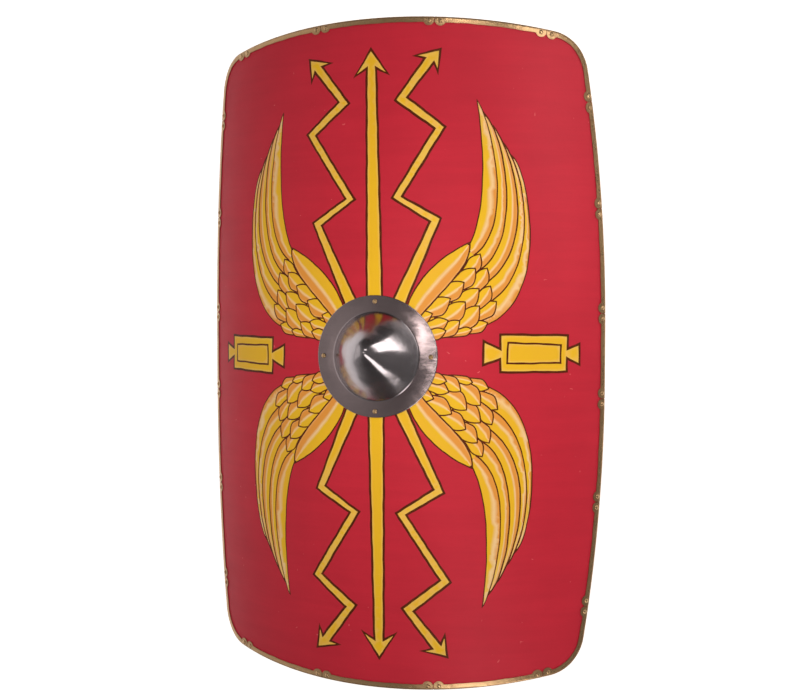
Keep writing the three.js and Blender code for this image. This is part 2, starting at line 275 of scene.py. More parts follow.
def smooth(mesh, angle):
    mesh.polygons.foreach_set("use_smooth", np.ones(len(mesh.polygons), bool))
    mesh.set_sharp_from_angle(angle=np.radians(angle))
    mesh.update()


def link(name, mesh):
    piece = bpy.data.objects.new(name, mesh)
    bpy.context.scene.collection.objects.link(piece)
    return piece


def fit(piece, node):
    """Puts a piece in place of its solid: ties it to the root body and hides the solid."""
    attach(piece, "root")
    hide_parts(node)


class Nodes:
    """Short hand for building a node tree."""

    def __init__(self, tree):
        self.tree = tree

    def add(self, kind, settings=None, **inputs):
        node = self.tree.nodes.new(kind)
        for key, value in (settings or {}).items():
            setattr(node, key, value)
        for key, value in inputs.items():
            self.give(node.inputs[key.replace("_", " ")], value)
        return node

    def give(self, socket, value):
        if isinstance(value, bpy.types.NodeSocket):
            self.tree.links.new(value, socket)
        elif isinstance(value, (tuple, list)) and socket.type == "RGBA":
            socket.default_value = (*value[:3], 1)
        else:
            socket.default_value = value

    def math(self, operation, first, second=0.0, clamp=False):
        node = self.add("ShaderNodeMath", {"operation": operation, "use_clamp": clamp})
        self.give(node.inputs[0], first)
        self.give(node.inputs[1], second)
        return node.outputs[0]

    def ramp(self, factor, stops):
        node = self.add("ShaderNodeValToRGB")
        self.give(node.inputs[0], factor)
        elements = node.color_ramp.elements
        while len(elements) < len(stops):
            elements.new(0.5)
        for element, (position, value) in zip(elements, stops):
            element.position = position
            element.color = (*value, 1) if isinstance(value, tuple) else (value, value, value, 1)
        return node.outputs[0]

    def mix(self, factor, first, second, blend="MIX"):
        node = self.add("ShaderNodeMix", {"data_type": "RGBA", "blend_type": blend})
        self.give(node.inputs[0], factor)
        self.give(node.inputs[6], first)
        self.give(node.inputs[7], second)
        return node.outputs[2]

    def noise(self, vector, scale, detail=3.0, roughness=0.5, distortion=0.0):
        node = self.add("ShaderNodeTexNoise", Vector=vector, Scale=scale, Detail=detail, Roughness=roughness)
        self.give(node.inputs["Distortion"], distortion)
        return node.outputs["Fac"]

    def stretch(self, vector, scale):
        node = self.add("ShaderNodeMapping", Vector=vector)
        node.inputs["Scale"].default_value = scale
        return node.outputs[0]

    def bump(self, height, distance, strength):
        return self.add("ShaderNodeBump", Height=height, Distance=distance, Strength=strength).outputs[0]

    def place(self):
        return self.add("ShaderNodeTexCoord").outputs["Object"]

    def times(self, first, second):
        return self.math("MULTIPLY", first, second)

    def wear_and_shade(self):
        return self.add("ShaderNodeAttribute", {"attribute_name": "wear_and_shade"}).outputs["Fac"]


def group_tree(name, inputs, outputs):
    """A new shader node group with named sockets, its node helper, and its two ends."""
    tree = bpy.data.node_groups.new(name, "ShaderNodeTree")
    for title, kind, value in inputs:
        socket = tree.interface.new_socket(title, in_out="INPUT", socket_type=kind)
        socket.default_value = (*value, 1) if isinstance(value, tuple) else value
    for title, kind in outputs:
        tree.interface.new_socket(title, in_out="OUTPUT", socket_type=kind)
    nodes = Nodes(tree)
    return tree, nodes, nodes.add("NodeGroupInput").outputs, nodes.add("NodeGroupOutput").inputs


def shared_group(name, make):
    return bpy.data.node_groups.get(name) or make(name)


def aged_group(name):
    """Hand-made variation: blotches and fine specks over a colour, with matching roughness."""
    inputs = [
        ("Colour", "NodeSocketColor", (0.5, 0.5, 0.5)),
        ("Dark", "NodeSocketColor", (0.1, 0.1, 0.1)),
        ("Blotch", "NodeSocketFloat", 0.2),
        ("Speck", "NodeSocketFloat", 0.1),
        ("Roughness", "NodeSocketFloat", 0.5),
        ("Spread", "NodeSocketFloat", 0.1),
    ]
    outputs = [("Colour", "NodeSocketColor"), ("Roughness", "NodeSocketFloat")]
    tree, nodes, given, wanted = group_tree(name, inputs, outputs)
    place = nodes.place()
    broad = nodes.ramp(nodes.noise(place, 9, 5, 0.6), [(0.35, 0.0), (0.7, 1.0)])
    fine = nodes.ramp(nodes.noise(place, 260, 2, 0.6), [(0.6, 0.0), (0.74, 1.0)])
    blotched = nodes.mix(nodes.times(broad, given["Blotch"]), given["Colour"], given["Dark"])
    specked = nodes.mix(nodes.times(fine, given["Speck"]), blotched, given["Dark"])
    tree.links.new(specked, wanted["Colour"])
    centred = nodes.math("SUBTRACT", nodes.noise(place, 34, 4, 0.6), 0.5)
    uneven = nodes.times(centred, given["Spread"])
    tree.links.new(nodes.math("ADD", given["Roughness"], uneven, clamp=True), wanted["Roughness"])
    return tree


def aged(nodes, colour, dark, blotch, speck, roughness, spread):
    node = nodes.add("ShaderNodeGroup", {"node_tree": shared_group("Aged surface", aged_group)})
    for socket, value in zip(node.inputs, (colour, dark, blotch, speck, roughness, spread)):
        nodes.give(socket, value)
    return node.outputs


def new_material(name):
    """A material with a bare Principled shader, its node helper and that shader's inputs."""
    material = bpy.data.materials.new(name)
    material.use_nodes = True
    nodes = Nodes(material.node_tree)
    shader = next(node for node in material.node_tree.nodes if node.type == "BSDF_PRINCIPLED")
    return material, nodes, shader.inputs


def darker(colour, share):
    return tuple(channel * share for channel in colour)


def surface(nodes, shader, colour, rough, height, distance, strength):
    """Gives the shader its colour, its roughness and a normal bumped by a height."""
    nodes.give(shader["Base Color"], colour)
    nodes.give(shader["Roughness"], rough)
    nodes.give(shader["Normal"], nodes.bump(height, distance, strength))


PAINT_GLOSS = 0.12
PAINT_RELIEF = 0.0003


def paint_material(name):
    """A material of low gloss, its node helper, its shader's inputs and its coordinates."""
    material, nodes, shader = new_material(name)
    shader["Specular IOR Level"].default_value = PAINT_GLOSS
    return material, nodes, shader, nodes.place()


def brushed(nodes, shader, place, colour, rough, strength=0.5):
    """Finishes hand-brushed paint: fine bands across the shield and a little canvas grain."""
    bands = nodes.noise(nodes.stretch(place, (14, 150, 14)), 1.0, 3, 0.6)
    grain = nodes.noise(place, 900, 2, 0.5)
    height = nodes.math("ADD", nodes.times(bands, 0.7), nodes.times(grain, 0.3))
    surface(nodes, shader, colour, rough, height, PAINT_RELIEF, strength)


def stroke_direction(nodes):
    """Sockets that say how far across and along its brush stroke a point lies."""
    stroke = nodes.add("ShaderNodeUVMap", {"uv_map": "Stroke"}).outputs[0]
    return nodes.add("ShaderNodeSeparateXYZ", Vector=stroke).outputs


def ground_material():
    """Red ground: brushed in level bands, a little darker in patches, with small pale nicks."""
    material, nodes, shader, place = paint_material("red_ground")
    level = nodes.noise(nodes.stretch(place, (5, 60, 5)), 1.0, 4, 0.6)
    bands = nodes.ramp(level, [(0.35, 0.0), (0.65, 1.0)])
    red = paint().ground[:]
    banded = nodes.mix(nodes.times(bands, 0.24), red, darker(red, 0.72))
    colour, rough = aged(nodes, banded, darker(red, 0.6), 0.22, 0.10, 0.46, 0.16)
    nicks = nodes.ramp(nodes.noise(place, 120, 1, 0.4, 0.6), [(0.795, 0.0), (0.83, 1.0)])
    nicked = nodes.mix(nodes.times(nicks, 0.5), colour, srgb(232, 120, 118))
    brushed(nodes, shader, place, nicked, rough)
    return material


def outline_material():
    """Dark brown outline, thinner and redder where the brush ran dry."""
    material, nodes, shader, place = paint_material("brush_outline")
    thin = nodes.ramp(nodes.noise(place, 70, 4, 0.7), [(0.45, 0.0), (0.75, 1.0)])
    colour = nodes.mix(nodes.times(thin, 0.5), paint().outline[:], srgb(120, 52, 20))
    brushed(nodes, shader, place, colour, 0.42, 0.4)
    return material


def feather_material():
    """Feather paint: yellow on one side, a pale streak, then orange, all fading paler to the tip."""
    material, nodes, shader, place = paint_material("feather_paint")
    stroke = stroke_direction(nodes)
    wobble = nodes.times(nodes.math("SUBTRACT", nodes.noise(place, 60, 3, 0.6), 0.5), 0.045)
    across = nodes.math("ADD", stroke["X"], wobble)
    gold, orange, pale = paint().gold[:], paint().orange[:], paint().pale[:]
    stops = [(0.0, gold), (0.44, gold), (0.54, pale), (0.57, pale), (0.67, orange), (0.88, orange)]
    body = nodes.ramp(across, stops + [(1.0, srgb(240, 178, 112))])
    tip = nodes.ramp(stroke["Y"], [(0.62, 0.0), (1.0, 1.0)])
    lightened = nodes.mix(nodes.times(tip, 0.5), body, pale)
    colour, rough = aged(nodes, lightened, orange, 0.25, 0.12, 0.44, 0.12)
    brushed(nodes, shader, place, colour, rough)
    return material


def gold_material():
    """Flat gold of the bolts, arrows and tablets, a little paler along its painted edges."""
    material, nodes, shader, place = paint_material("gold_paint")
    streaks = nodes.noise(nodes.stretch(place, (160, 22, 60)), 1.0, 3, 0.6)
    inwards = nodes.math("ADD", stroke_direction(nodes)["X"], nodes.times(streaks, 0.5))
    near_edge = nodes.ramp(inwards, [(0.2, 1.0), (1.0, 0.0)])
    body = nodes.mix(nodes.times(near_edge, 0.3), paint().gold[:], paint().pale[:])
    colour, rough = aged(nodes, body, paint().orange[:], 0.18, 0.1, 0.44, 0.12)
    brushed(nodes, shader, place, colour, rough)
    return material


def wood_grain(nodes, place, stretch):
    """Grain lines: banded noise along stretched, distorted coordinates."""
    grain = nodes.noise(nodes.stretch(place, stretch), 1.0, 6, 0.65, 1.2)
    return nodes.ramp(grain, [(0.35, 0.0), (0.48, 0.7), (0.52, 0.3), (0.66, 1.0)])


def plywood_material():
    """Varnished plywood back: long grain along the shield with a few darker figure bands."""
    material, nodes, shader = new_material("plywood_back")
    grain = wood_grain(nodes, nodes.place(), (60, 3.2, 60))
    wood = paint().back[:]
    body = nodes.mix(grain, darker(wood, 0.52), wood)
    colour, rough = aged(nodes, body, srgb(92, 60, 34), 0.35, 0.15, 0.5, 0.16)
    surface(nodes, shader, colour, rough, grain, 0.0003, 0.4)
    return material


def ply_edge_material():
    """Cut edge of the plywood: light and dark end grain."""
    material, nodes, shader = new_material("plywood_edge")
    grain = nodes.noise(nodes.place(), 420, 3, 0.6)
    ends = [(0.3, srgb(96, 62, 36)), (0.7, srgb(186, 146, 98))]
    nodes.give(shader["Base Color"], nodes.ramp(grain, ends))
    shader["Roughness"].default_value = 0.7
    return material


def bezier(points, steps):
    """Cubic curve through four points: the usual blend of the end points and two handles."""
    a, b, c, d = (np.array(point, float) for point in points)
    t = np.linspace(0, 1, steps)[:, None]
    return (1 - t) ** 3 * a + 3 * (1 - t) ** 2 * t * b + 3 * (1 - t) * t**2 * c + t**3 * d


# The upper right wing, millimetres from the middle of the boss. Every edge runs from tip to root.
LONG_FEATHER_EDGES = [
    [(167.5, 400), (191, 363), (227, 199), (158, 157)],
    [(178, 380), (217.5, 338.5), (236, 168), (165, 133)],
    [(193, 359), (231, 306), (263, 162), (170, 108)],
    [(208, 334), (254, 273), (258, 121), (180, 82)],
    [(222, 313), (250, 289), (291, 58.5), (152, 42)],
]
FIRST_LONG_FEATHER_INNER_EDGE = [(167.5, 400), (171, 385), (191, 240), (152, 172)]
LEADING_FEATHER_EDGES = (
    [(154, 178), (118, 163), (72, 130), (54, 80)],
    [(154, 178), (158, 140), (112, 108), (70, 58)],
)
# Small feathers as (tip, root, width), from the outermost to the one nearest the boss.
SMALL_FEATHERS = [
    ((170, 160), (142, 126), 21),
    ((181, 138), (152, 100), 22),
    ((162.5, 137.5), (122, 106), 25),
    ((195, 85), (154, 58), 21),
    ((186, 109.5), (156, 72), 20),
    ((167.5, 105.5), (128, 78), 26),
    ((144.5, 116), (88, 84), 25),
    ((181, 52), (136, 40), 17),
    ((168, 78.5), (122, 38), 26),
    ((146, 85), (102, 54), 26),
    ((122.5, 91), (72, 68), 26),
    ((156, 42), (112, 34), 12),
    ((137, 55.5), (100, 34), 21),
    ((118.5, 56.5), (78, 46), 20),
    ((94, 67), (58, 60), 20),
    ((115, 40), (76, 34), 17),
]
# Gold ground under the small feathers, so that no red shows between them.
SHOULDER = [
    (56, 76), (84, 84), (112, 108), (136, 134), (151, 166), (159, 160), (168, 128), (180, 100), (176, 60),
    (160, 44), (132, 37), (108, 34), (80, 36), (56, 54),
]
FEATHER_LINE = 2.4
SMALL_FEATHER_LINE = 2.1
SCALE_SPREAD = 0.56

# The right-hand bolt and half of the middle arrow, as the centre line of their outlines.
BOLT = [
    (111.5, 480.5), (107.5, 445), (101.5, 460), (58, 408), (118, 360), (48, 253), (109, 217), (50, 80),
    (30, 88), (92, 212), (31, 251), (100.5, 357.5), (38.7, 404), (87, 467.5), (71, 471.5),
]
MIDDLE_ARROW_HALF = [(13.6, 60), (8, 457), (27.5, 446), (0, 487)]
TABLET = [
    (201, 33.3), (312.5, 30), (312, 8), (333.3, 15.5), (332.5, -18), (311, -6.7), (310.3, -28.3),
    (200, -26.7), (200, -5.5), (173.3, -14.5), (174, 23.3), (201, 10),
]
TABLET_PANEL = [(213.3, 20), (300.5, 15), (299.7, -13.8), (211.3, -13)]
BOLD_LINE = 3.8
PANEL_LINE = 3.0
PAINT_TURN = np.radians(0.8)
LEFT_TABLET_TURN = np.radians(-3.4)
# How far the paint of bolts, arrows and tablets takes to turn from pale at its edge to plain gold.
PALE_EDGE = 5.0
# Points along a feather's edge, the least distance between them, and how far the grids reach.
EDGE_STEPS = 60
OUTLINE_SPACING = 0.9
GRID_REACH = (400, 540)
PAINTED_GRID = 9.0
BACK_GRID = 16.0
OUTLINE_POINTS = 420
HOLE_SIDES = 72
# Joints of the edging: heights along a side, and distances from the middle along an end.
EDGING_SIDE_JOINTS = (69, 237, 406)
EDGING_END_JOINTS = (273, 96)
GROUND, OUTLINE, FEATHER, GOLD, BACK, EDGE = range(6)


def wobble(points, amount):
    """Moves points by a smooth, repeatable wave, as an unsteady brush would."""
    u, v = points[:, 0], points[:, 1]
    du = np.sin(u / 7.1 + v / 11.3) + 0.6 * np.sin(u / 3.1 - v / 4.7 + 1.3)
    dv = np.sin(u / 9.7 - v / 6.1 + 2.1) + 0.6 * np.sin(u / 4.3 + v / 3.7)
    return points + amount * np.stack([du, dv], -1)


def thin_out(points, least=0.4):
    """Drops points that crowd the one before them."""
    kept = [points[0]]
    for point in points[1:]:
        if np.hypot(*(point - kept[-1])) >= least:
            kept.append(point)
    if np.hypot(*(kept[0] - kept[-1])) < least:
        kept.pop()
    return np.array(kept)


class Feather:
    """A feather between two edges that run from its tip to its root."""

    def __init__(self, left, right, line):
        self.left = left
        self.right = right
        self.line = line

    def ring(self, outwards):
        """Outline moved outwards, or inwards up to the feather's middle."""
        if outwards > 0:
            return mitred(thin_out(np.vstack([self.right, self.left[::-1]]), OUTLINE_SPACING), outwards)
        span = self.right - self.left
        width = np.maximum(np.linalg.norm(span, axis=1, keepdims=True), 1e-6)
        unit = span / width
        typical = span[len(span) // 2] / np.linalg.norm(span[len(span) // 2])
        unit = np.where(width < 0.5, typical, unit)
        shift = np.maximum(-0.46 * width, outwards)
        return thin_out(np.vstack([(self.right + unit * shift)[2:], (self.left - unit * shift)[2:][::-1]]))

    def stroke(self, points):
        """How far across and along the feather each point lies, both from 0 to 1."""
        middle = (self.left + self.right) / 2
        nearest = np.argmin(((points[:, None] - middle[None]) ** 2).sum(-1), axis=1)
        span = self.right[nearest] - self.left[nearest]
        across = ((points - self.left[nearest]) * span).sum(-1) / np.maximum((span**2).sum(-1), 1e-6)
        along = 1 - nearest / (len(middle) - 1)
        return np.stack([np.clip(across, 0, 1), along], -1)


class Scale(Feather):
    """A short feather, broad enough for a sharp tip inside its outline as well as outside."""

    def ring(self, outwards):
        return mitred(thin_out(np.vstack([self.right, self.left[::-1]]), OUTLINE_SPACING), outwards)


def small_feather(tip, root, width):
    """Leaf whose half-width grows as 1 - (1 - d / D)^2 from its point, then narrows to its root."""
    tip, root = np.array(tip, float), np.array(root, float)
    length = np.linalg.norm(tip - root)
    t = np.linspace(0, 1, 26)[:, None]
    full = min(0.9 * width / length, 0.7)
    bulge = (1 - (1 - np.minimum(t / full, 1)) ** 2) * (1 - 0.45 * np.maximum(t - full, 0) / (1 - full))
    heading = (tip - root) / length
    side = np.array([heading[1], -heading[0]])
    middle = tip + (root - tip) * t + side * width * 0.5 * t * (1 - t)
    reach = side * bulge * width * SCALE_SPREAD
    return Scale(middle - reach * 0.96, middle + reach * 1.04, SMALL_FEATHER_LINE)


def wing_feathers():
    """Feathers of the upper right wing in the order they are painted, outermost first."""
    edges = [bezier(points, EDGE_STEPS) for points in LONG_FEATHER_EDGES]
    inner = bezier(FIRST_LONG_FEATHER_INNER_EDGE, EDGE_STEPS)
    feathers = [Feather(inner, edges[0], FEATHER_LINE)]
    for before, edge in zip(edges, edges[1:]):
        start = int(np.argmin(((before - edge[0]) ** 2).sum(-1)))
        chosen = np.linspace(start, EDGE_STEPS - 1, EDGE_STEPS)
        steps = np.arange(EDGE_STEPS)
        left = np.stack([np.interp(chosen, steps, before[:, axis]) for axis in (0, 1)], -1)
        left[0] = edge[0]
        feathers.append(Feather(left, edge, FEATHER_LINE))
    leading = Feather(*(bezier(points, 44) for points in LEADING_FEATHER_EDGES), FEATHER_LINE)
    return feathers[::-1], [small_feather(*row) for row in SMALL_FEATHERS] + [leading]


def signed_area(loop):
    """Twice the area inside a loop, negative where the loop runs clockwise."""
    after = np.roll(loop, -1, axis=0)
    return np.sum(loop[:, 0] * after[:, 1] - after[:, 0] * loop[:, 1])


def mitred(points, distance):
    """A closed outline moved outwards by a distance, with sharp mitred corners."""
    before, after = np.roll(points, 1, axis=0), np.roll(points, -1, axis=0)
    first = (points - before) / np.linalg.norm(points - before, axis=1, keepdims=True)
    second = (after - points) / np.linalg.norm(after - points, axis=1, keepdims=True)
    turn = 1 if signed_area(points) > 0 else -1
    normal = lambda way: turn * np.stack([way[:, 1], -way[:, 0]], -1)
    corner = normal(first) + normal(second)
    scale = 2 / np.maximum((corner**2).sum(-1, keepdims=True), 0.35)
    return points + corner * distance * scale


def dense(points, step=4.0):
    """The same closed outline with extra points along its straight runs."""
    result = []
    for first, second in zip(points, np.roll(points, -1, axis=0)):
        count = max(1, int(np.linalg.norm(second - first) // step))
        result.append(first + (second - first) * np.arange(count)[:, None] / count)
    return np.vstack(result)


def edge_distance(points, outline):
    """Distance of each point from a closed outline, for the paler paint along its edges."""
    first, second = outline, np.roll(outline, -1, axis=0)
    span = second - first
    offset = points[:, None] - first[None]
    t = np.clip((offset * span).sum(-1) / np.maximum((span**2).sum(-1), 1e-9), 0, 1)
    return np.sqrt(((offset - t[..., None] * span) ** 2).sum(-1)).min(axis=1)


class Painting:
    """Painted shapes in painter's order, each with its colour region and its stroke directions."""

    def __init__(self):
        self.shapes = []

    def lay(self, outline, region, stroke=None):
        self.shapes.append((outline, region, stroke))

    def bordered(self, points, line):
        points = np.array(points, float)
        inner = dense(mitred(points, -line / 2))
        self.lay(wobble(dense(mitred(points, line / 2)), 0.32), OUTLINE)
        share = lambda where: edge_distance(where, inner) / PALE_EDGE
        depth = lambda where: np.stack([share(where), np.zeros(len(where))], -1)
        self.lay(wobble(inner, 0.28), GOLD, depth)

    def feather(self, feather, mirror, length):
        flip = np.array(mirror, float)
        stroke = lambda where: feather.stroke(where * flip) * (1, length)
        self.lay(wobble(feather.ring(feather.line / 2) * flip, 0.22), OUTLINE)
        self.lay(wobble(feather.ring(-feather.line / 2) * flip, 0.2), FEATHER, stroke)


def turned(points, angle, centre):
    cos, sin = np.cos(angle), np.sin(angle)
    return (np.asarray(points) - centre) @ np.array([[cos, sin], [-sin, cos]]) + centre


def compose_painting():
    """The whole face: four wings, four bolts, the middle arrow's two halves and two tablets."""
    painting = Painting()
    long_feathers, small_feathers = wing_feathers()
    for across in (1, -1):
        for up in (1, -1):
            painting.bordered(np.array(BOLT) * (across, up), BOLD_LINE)
            for feather in long_feathers:
                painting.feather(feather, (across, up), 1.0)
            painting.lay(np.array(SHOULDER, float) * (across, up), FEATHER)
            for feather in small_feathers:
                painting.feather(feather, (across, up), 0.6)
    half = np.array(MIDDLE_ARROW_HALF, float)
    upper = np.vstack([half, (half[:-1] * (-1, 1))[::-1]])
    whole = np.vstack([upper, (upper * (1, -1))[::-1]])
    painting.bordered(whole, BOLD_LINE)
    for across, angle in ((1, 0.0), (-1, LEFT_TABLET_TURN)):
        flip = np.array([across, 1])
        middle = np.mean(TABLET, axis=0) * flip
        painting.bordered(turned(np.array(TABLET) * flip, angle, middle), BOLD_LINE)
        panel = turned(np.array(TABLET_PANEL) * flip, angle, middle)
        painting.bordered(panel, PANEL_LINE)
    return painting


def circle(radius, count):
    angle = np.linspace(0, 2 * np.pi, count, endpoint=False)
    return np.stack([radius * np.cos(angle), radius * np.sin(angle)], -1)


def plate_lattice(outline, hole, step):
    """Loose points in staggered rows, at least half a step inside the outline and off the hole."""
    u, v = np.meshgrid(*(np.arange(-reach, reach + 1, step) for reach in GRID_REACH))
    row = np.arange(u.size) // u.shape[1]
    points = np.stack([u.ravel() + step / 2 * (row % 2), v.ravel()], -1)
    margin = step / 2
    inside = inside_outline(points, outline, margin) & (np.hypot(*points.T) > hole + margin)
    return points[inside]


def inside_outline(points, outline, margin):
    """Whether points lie inside a convex outline by at least a margin."""
    first, second = outline, np.roll(outline, -1, axis=0)
    way = (second - first) / np.linalg.norm(second - first, axis=1, keepdims=True)
    offset = points[:, None] - first[None]
    return (way[:, 0] * offset[..., 1] - way[:, 1] * offset[..., 0]).min(axis=1) > margin


def triangulate(loops, loose):
    """Triangles inside the first loop and outside the second, with the loops that each lies in."""
    points, faces = [], []
    for loop in loops:
        faces.append(list(range(len(points), len(points) + len(loop))))
        points += [tuple(point) for point in (loop if signed_area(loop) > 0 else loop[::-1])]
    places = [Vector(point) for point in points + [tuple(point) for point in loose]]
    vertices, _, triangles, _, _, origins = delaunay_2d_cdt(places, [], faces, 1, 1e-4)
    kept = [index for index, origin in enumerate(origins) if 1 not in origin]
    vertices = np.array([tuple(vertex) for vertex in vertices])
    return vertices, np.array(triangles)[kept], [origins[index] for index in kept]


def front_plate(outline, hole):
    """The painted face as one flat sheet, cut along every painted edge."""
    painting = compose_painting()
    shapes = [(turned(points, PAINT_TURN, 0), region, stroke) for points, region, stroke in painting.shapes]
    loops = [outline, circle(hole, HOLE_SIDES)] + [shape[0] for shape in shapes]
    loose = plate_lattice(outline, hole, PAINTED_GRID)
    points, triangles, origins = triangulate(loops, loose)
    top = np.array([max(origin) for origin in origins])
    regions = np.array([GROUND, GROUND] + [shape[1] for shape in shapes])[top]
    corners = turned(points[triangles].reshape(-1, 2), -PAINT_TURN, 0).reshape(-1, 3, 2)
    stroke = np.zeros((len(triangles), 3, 2))
    for index in np.unique(top):
        if index >= 2 and shapes[index - 2][2] is not None:
            chosen = top == index
            stroke[chosen] = shapes[index - 2][2](corners[chosen].reshape(-1, 2)).reshape(-1, 3, 2)
    return points, triangles, regions, stroke


def board_mesh():
    """Front and back sheets joined by the walls of the outline and of the hand hole."""
    size = sizes()
    outline = Outline()
    inset = (size.brass + size.gap) * 1000
    stations = np.linspace(0, 4 * outline.quarter, OUTLINE_POINTS, endpoint=False)
    loop = outline.place(stations, inset)
    hole = size.hand_hole * 1000
    hole_loop = circle(hole, HOLE_SIDES)
    thickness = size.thickness * 1000
    flat, triangles, regions, stroke = front_plate(loop, hole)
    loose = plate_lattice(loop, hole, BACK_GRID)
    back_flat, back_triangles, _ = triangulate([loop, hole_loop], loose)
    points = [bend(np.column_stack([flat, np.zeros(len(flat))]))]
    points.append(bend(np.column_stack([back_flat, np.full(len(back_flat), -thickness)])))
    faces = triangles.tolist() + (back_triangles[:, ::-1] + len(flat)).tolist()
    start = len(flat) + len(back_flat)
    walls = 0
    for ring in (loop, hole_loop):
        levels = np.array([np.column_stack([ring, np.full(len(ring), w)]) for w in (0, -thickness)])
        points.append(bend(levels).reshape(-1, 3))
        quads = grid_faces(2, len(ring), True, start)
        faces += quads
        walls += len(quads)
        start += 2 * len(ring)
    mesh = bpy.data.meshes.new("painted_board")
    mesh.from_pydata((np.concatenate(points) * MM).tolist(), [], faces)
    index = np.concatenate([regions, np.full(len(back_triangles), BACK), np.full(walls, EDGE)])
    mesh.polygons.foreach_set("material_index", index.astype(np.int32))
    layer = mesh.uv_layers.new(name="Stroke")
    spread = np.concatenate([stroke.reshape(-1, 2), np.zeros((len(layer.data) - 3 * len(triangles), 2))])
    layer.data.foreach_set("uv", spread.astype(np.float32).ravel())
    close_shells(mesh)
    curved_normals(mesh)
    return mesh


def curved_normals(mesh):
    """Gives faces that follow the curve its true normals, so that their triangles don't show."""
    count = len(mesh.loops)
    vertex_of = np.empty(count, np.int32)
    mesh.loops.foreach_get("vertex_index", vertex_of)
    place = np.empty(len(mesh.vertices) * 3, np.float32)
    mesh.vertices.foreach_get("co", place)
    place = place.reshape(-1, 3)[vertex_of]
    facing = np.empty(len(mesh.polygons) * 3, np.float32)
    mesh.polygons.foreach_get("normal", facing)
    totals = np.empty(len(mesh.polygons), np.int32)
    mesh.polygons.foreach_get("loop_total", totals)
    facing = np.repeat(facing.reshape(-1, 3), totals, axis=0)
    radial = place - np.array([0, 0, CROWN * MM - sizes().face_radius])
    radial[:, 1] = 0
    radial /= np.linalg.norm(radial, axis=1, keepdims=True)
    along = (facing * radial).sum(-1, keepdims=True)
    normals = np.where(np.abs(along) > 0.7, radial * np.sign(along), facing)
    mesh.polygons.foreach_set("use_smooth", np.ones(len(mesh.polygons), bool))
    mesh.normals_split_custom_set(normals.tolist())


class SCUTUM_OT_board(bpy.types.Operator):
    """Build the curved plywood board with its painted face"""

    bl_idname = "scutum.board"
    bl_label = "Painted board"

    def execute(self, context):
        mesh = board_mesh()
        for make in (ground_material, outline_material, feather_material, gold_material,
                     plywood_material, ply_edge_material):
            mesh.materials.append(make())
        fit(link("painted_board", mesh), "board")
        return {"FINISHED"}


STEEL_TO_FLANGE = (0.78, 0.67, 0.65)


def steel_material():
    """Raised steel: a polished dome and a browner flange, both with hammer marks and fine streaks."""
    material, nodes, shader = new_material("raised_steel")
    place = nodes.place()
    wear_and_shade = nodes.wear_and_shade()
    steel = metal().steel[:]
    hammer = nodes.noise(place, 40, 2, 0.5)
    streaks = nodes.noise(nodes.stretch(place, (30, 300, 60)), 1.0, 3, 0.6)
    dull = nodes.mix(wear_and_shade, steel, tuple(np.multiply(steel, STEEL_TO_FLANGE)))
    body = nodes.mix(nodes.times(streaks, 0.3), dull, srgb(112, 100, 98))
    colour, rough = aged(nodes, body, srgb(70, 62, 62), 0.3, 0.12, 0.18, 0.1)
    shader["Metallic"].default_value = 1.0
    polish = nodes.math("ADD", rough, nodes.times(wear_and_shade, -0.03), clamp=True)
    height = nodes.math("ADD", nodes.times(hammer, 0.45), nodes.times(streaks, 0.03))
    surface(nodes, shader, colour, polish, height, 0.0015, 0.5)
    return material


def brass_material(name, tarnish_share, roughness):
    """Brass: golden and polished, brown where the noise leaves tarnish and where the per-point value darkens
    it, as dark joints and as painted shade.
    """
    material, nodes, shader = new_material(name)
    place = nodes.place()
    patches = nodes.ramp(nodes.noise(place, 42, 5, 0.65), [(0.42, 0.0), (0.68, 1.0)])
    # Painted shade: the per-point value darkens the fold, the lip's inner edge and the rivets' feet, as well
    # as marking the dark joints.
    tarnish_and_shade = nodes.math("MAXIMUM", nodes.wear_and_shade(), nodes.times(patches, tarnish_share), clamp=True)
    body = nodes.mix(tarnish_and_shade, metal().brass[:], metal().tarnish[:])
    colour, rough = aged(nodes, body, metal().tarnish[:], 0.25, 0.2, roughness, 0.16)
    shader["Metallic"].default_value = 0.85
    dulled = nodes.math("ADD", rough, nodes.times(tarnish_and_shade, 0.2), clamp=True)
    surface(nodes, shader, colour, dulled, nodes.noise(place, 110, 3, 0.55), 0.0009, 0.4)
    return material


def face_drop(x):
    radius = sizes().face_radius * 1000
    return radius - np.sqrt(radius**2 - x**2)


def cone_height(radius, foot, rise):
    """Height over the foot of a cone with a rounded crown: its slope is 1 - exp(-r / rounding)."""
    rounding = boss_sizes().rounding * 1000
    climbed = lambda r: r + rounding * np.exp(-r / rounding)
    return rise * (climbed(foot) - climbed(radius)) / (climbed(foot) - climbed(0.0))


# Where the dome's curve stops short of the flange, and the rounding and the sag of the flange.
DOME_STOP = 0.9
RIM_ROUNDING = 0.8
FLANGE_SAG = 0.5
BOSS_SIDES = 144
# The hammered peak: its place, height and reach, and how far the whole crown is set down for it.
PEAK_PLACE = (-3.0, 24.0)
PEAK_HEIGHT = 3.2
PEAK_REACH = 15.0
CROWN_SET_DOWN = 1.8


